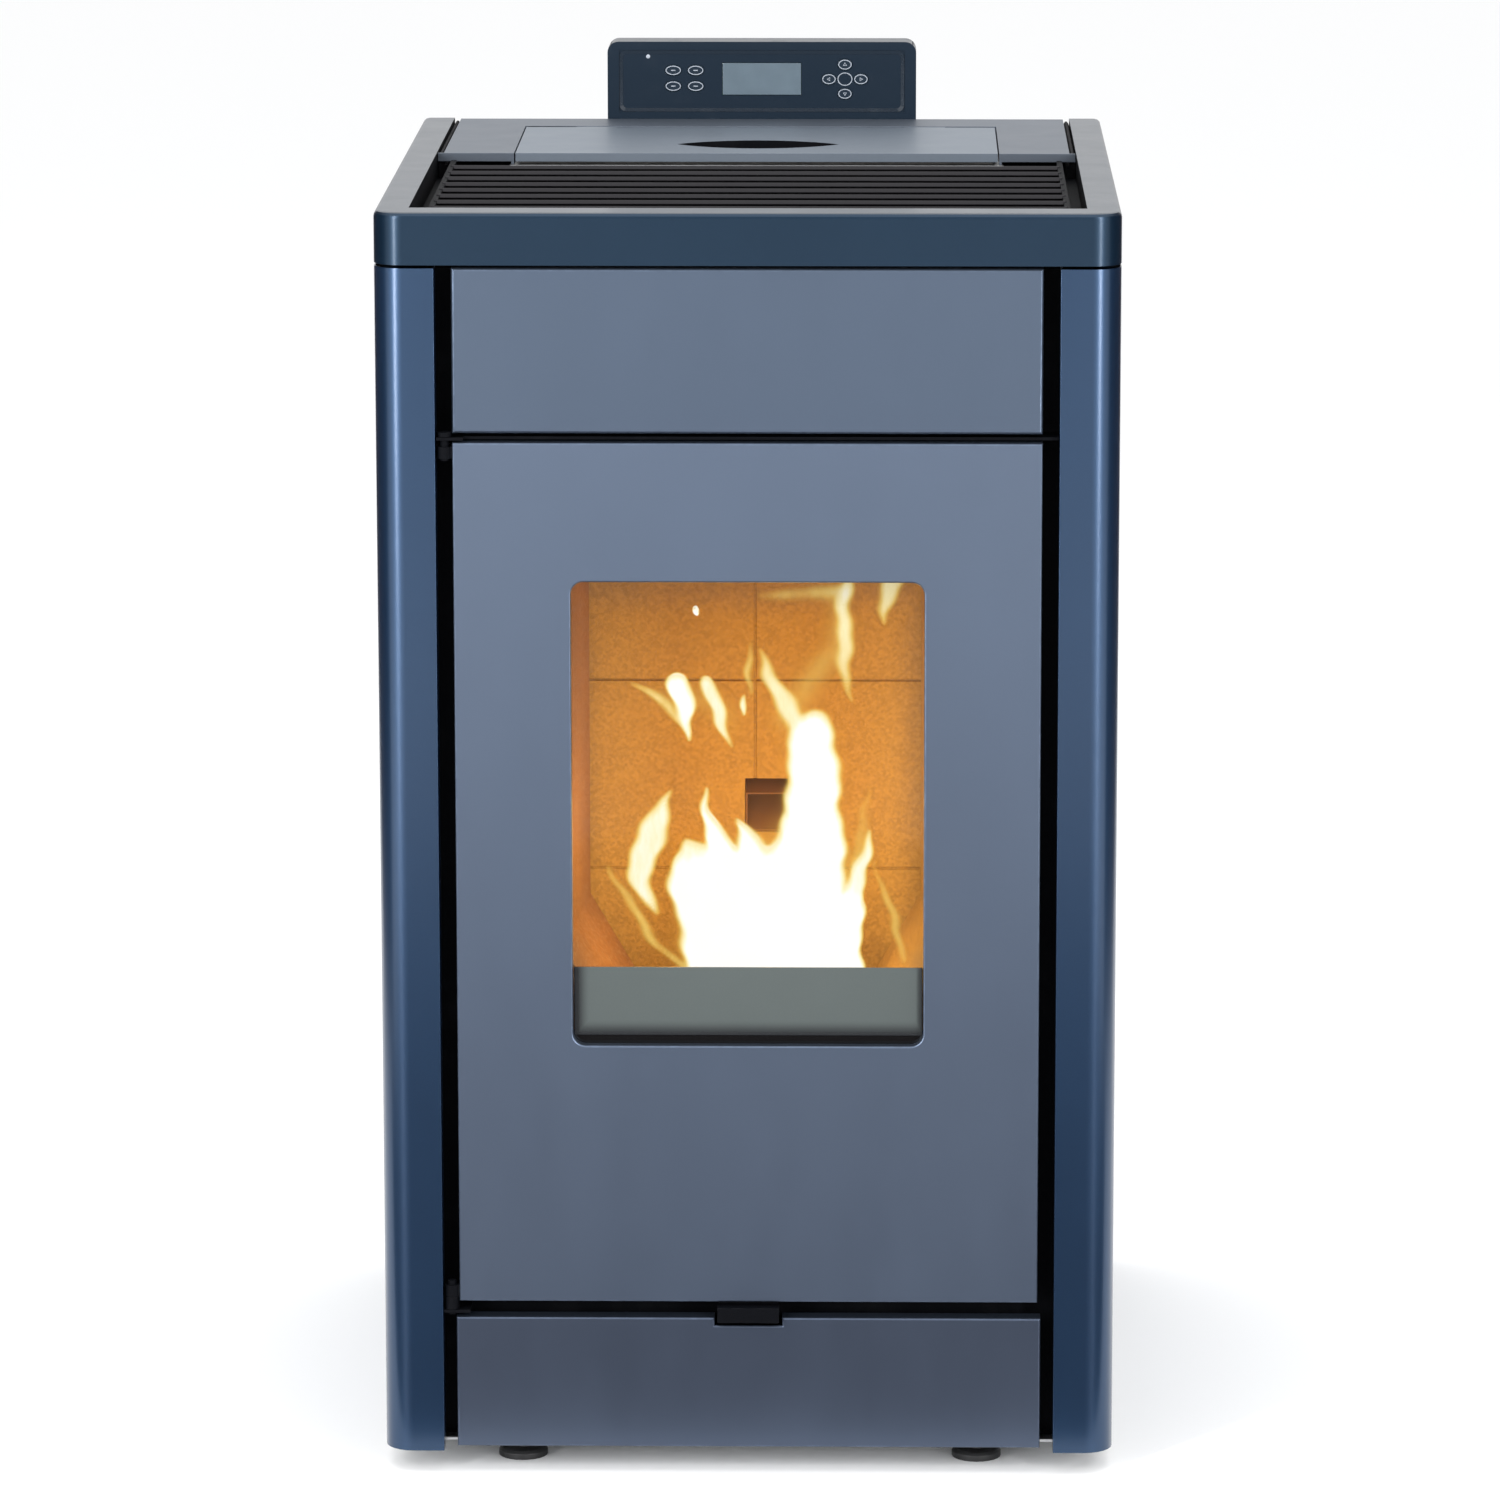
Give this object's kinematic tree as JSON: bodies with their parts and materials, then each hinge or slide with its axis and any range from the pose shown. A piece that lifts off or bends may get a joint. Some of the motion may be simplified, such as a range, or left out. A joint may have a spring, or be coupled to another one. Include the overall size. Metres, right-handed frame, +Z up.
{
  "type": "pellet stove",
  "caption": "Free-standing pellet stove with windowed fire door, ash drawer, top air grille, hopper lid and rear control panel.",
  "frame": {"origin": "middle of the bounding box, on the floor under the feet", "axes": "+X to the right seen from the front, +Y to the rear, front with the door towards -Y, +Z up"},
  "size_m": [0.5, 0.594, 0.927],
  "materials": {
    "slate_paint": "satin metallic",
    "panel_paint": "satin metallic",
    "top_paint": "satin metallic",
    "charcoal_metal": "matte",
    "black_steel": "matte",
    "cast_iron": "rough",
    "zinc": "satin",
    "steel": "satin",
    "fire_board": "rough",
    "rope": "braided",
    "glass": "clear",
    "band": "satin",
    "navy_plastic": "satin",
    "black_plastic": "matte",
    "display": "gloss",
    "key_plastic": "matte",
    "circuit_board": "satin",
    "red_plastic": "gloss"
  },
  "bodies": {
    "stove": {"base_plate": "zinc", "foot_front_left": "black_plastic", "foot_front_right": "black_plastic", "foot_rear_left": "black_plastic", "foot_rear_right": "black_plastic", "side_panel_left": "slate_paint", "side_panel_right": "slate_paint", "rear_panel": "black_steel", "front_wall": "black_steel", "upper_front_panel": "panel_paint", "top_frame": "slate_paint", "top_plate": "top_paint", "air_grille": "charcoal_metal", "lid_hinge_pin": "steel", "hinge_pin_upper": "steel", "hinge_pin_lower": "steel", "firebox_shell": "black_steel", "back_tile": "fire_board", "side_tile_left": "fire_board", "side_tile_right": "fire_board", "baffle_plate": "fire_board", "burn_pot": "cast_iron", "igniter": "steel", "auger_tube": "zinc", "auger_motor": "black_steel", "pellet_hopper": "zinc", "pellet_chute": "zinc", "exhaust_fan_housing": "black_steel", "exhaust_motor": "zinc", "flue_outlet": "black_steel", "air_intake_pipe": "zinc", "blower_housing": "zinc", "power_board": "circuit_board", "power_socket": "black_plastic", "control_board": "circuit_board", "control_housing": "navy_plastic", "display_window": "display"},
    "fire_door": {"door_panel": "panel_paint", "door_frame": "cast_iron", "door_glass": "glass", "window_trim": "band", "door_gasket": "rope", "lever_bracket": "zinc"},
    "lever": {"door_lever": "panel_paint"},
    "lid": {"hopper_lid": "top_paint", "lid_gasket": "rope"},
    "ash_tray": {"ash_drawer": "black_steel", "drawer_front": "panel_paint"},
    "auger": {"auger_screw": "steel"},
    "exhaust_wheel": {"exhaust_impeller": "steel"},
    "room_air_wheel": {"blower_wheel": "steel"},
    "rocker": {"power_switch": "red_plastic"},
    "key_1_cap": {"key_1": "key_plastic"},
    "key_2_cap": {"key_2": "key_plastic"},
    "key_3_cap": {"key_3": "key_plastic"},
    "key_4_cap": {"key_4": "key_plastic"},
    "arrow_key_up_cap": {"arrow_key_up": "key_plastic"},
    "arrow_key_down_cap": {"arrow_key_down": "key_plastic"},
    "arrow_key_left_cap": {"arrow_key_left": "key_plastic"},
    "arrow_key_right_cap": {"arrow_key_right": "key_plastic"}
  },
  "joints": [
    {"name": "door_swing", "type": "hinge", "parent": "stove", "child": "fire_door", "pos_m": [-0.203, -0.287, 0.4187], "axis": [0, 0, -1], "range_deg": [0, 95]},
    {"name": "lever_press", "type": "hinge", "parent": "fire_door", "child": "lever", "pos_m": [0, -0.281, 0.131], "axis": [-1, 0, 0], "range_deg": [0, 16], "stiffness_Nm_per_rad": 0.2, "springref_deg": -5.73},
    {"name": "lid_swing", "type": "hinge", "parent": "stove", "child": "lid", "pos_m": [0, 0.215, 0.8665], "axis": [-1, 0, 0], "range_deg": [0, 95]},
    {"name": "ash_tray_slide", "type": "slide", "parent": "stove", "child": "ash_tray", "axis": [0, -1, 0], "range_m": [0, 0.24]},
    {"name": "auger_spin", "type": "hinge", "parent": "stove", "child": "auger", "pos_m": [0.008, 0.182, 0.4], "axis": [0, -0.8192, 0.5736], "continuous": true},
    {"name": "exhaust_wheel_spin", "type": "hinge", "parent": "stove", "child": "exhaust_wheel", "pos_m": [0.103, 0.082, 0.172], "axis": [1, 0, 0], "continuous": true},
    {"name": "room_air_wheel_spin", "type": "hinge", "parent": "stove", "child": "room_air_wheel", "pos_m": [-0.125, 0.182, 0.0733], "axis": [1, 0, 0], "continuous": true},
    {"name": "rocker_tilt", "type": "hinge", "parent": "stove", "child": "rocker", "pos_m": [-0.18, 0.264, 0.114], "axis": [1, 0, 0], "range_deg": [0, 16]},
    {"name": "key_1_press", "type": "slide", "parent": "stove", "child": "key_1_cap", "axis": [0, 1, 0], "range_m": [0, 0.0006], "stiffness_N_per_m": 1500, "springref_m": -0.0003},
    {"name": "key_2_press", "type": "slide", "parent": "stove", "child": "key_2_cap", "axis": [0, 1, 0], "range_m": [0, 0.0006], "stiffness_N_per_m": 1500, "springref_m": -0.0003},
    {"name": "key_3_press", "type": "slide", "parent": "stove", "child": "key_3_cap", "axis": [0, 1, 0], "range_m": [0, 0.0006], "stiffness_N_per_m": 1500, "springref_m": -0.0003},
    {"name": "key_4_press", "type": "slide", "parent": "stove", "child": "key_4_cap", "axis": [0, 1, 0], "range_m": [0, 0.0006], "stiffness_N_per_m": 1500, "springref_m": -0.0003},
    {"name": "arrow_key_up_press", "type": "slide", "parent": "stove", "child": "arrow_key_up_cap", "axis": [0, 1, 0], "range_m": [0, 0.0006], "stiffness_N_per_m": 1500, "springref_m": -0.0003},
    {"name": "arrow_key_down_press", "type": "slide", "parent": "stove", "child": "arrow_key_down_cap", "axis": [0, 1, 0], "range_m": [0, 0.0006], "stiffness_N_per_m": 1500, "springref_m": -0.0003},
    {"name": "arrow_key_left_press", "type": "slide", "parent": "stove", "child": "arrow_key_left_cap", "axis": [0, 1, 0], "range_m": [0, 0.0006], "stiffness_N_per_m": 1500, "springref_m": -0.0003},
    {"name": "arrow_key_right_press", "type": "slide", "parent": "stove", "child": "arrow_key_right_cap", "axis": [0, 1, 0], "range_m": [0, 0.0006], "stiffness_N_per_m": 1500, "springref_m": -0.0003}
  ]
}
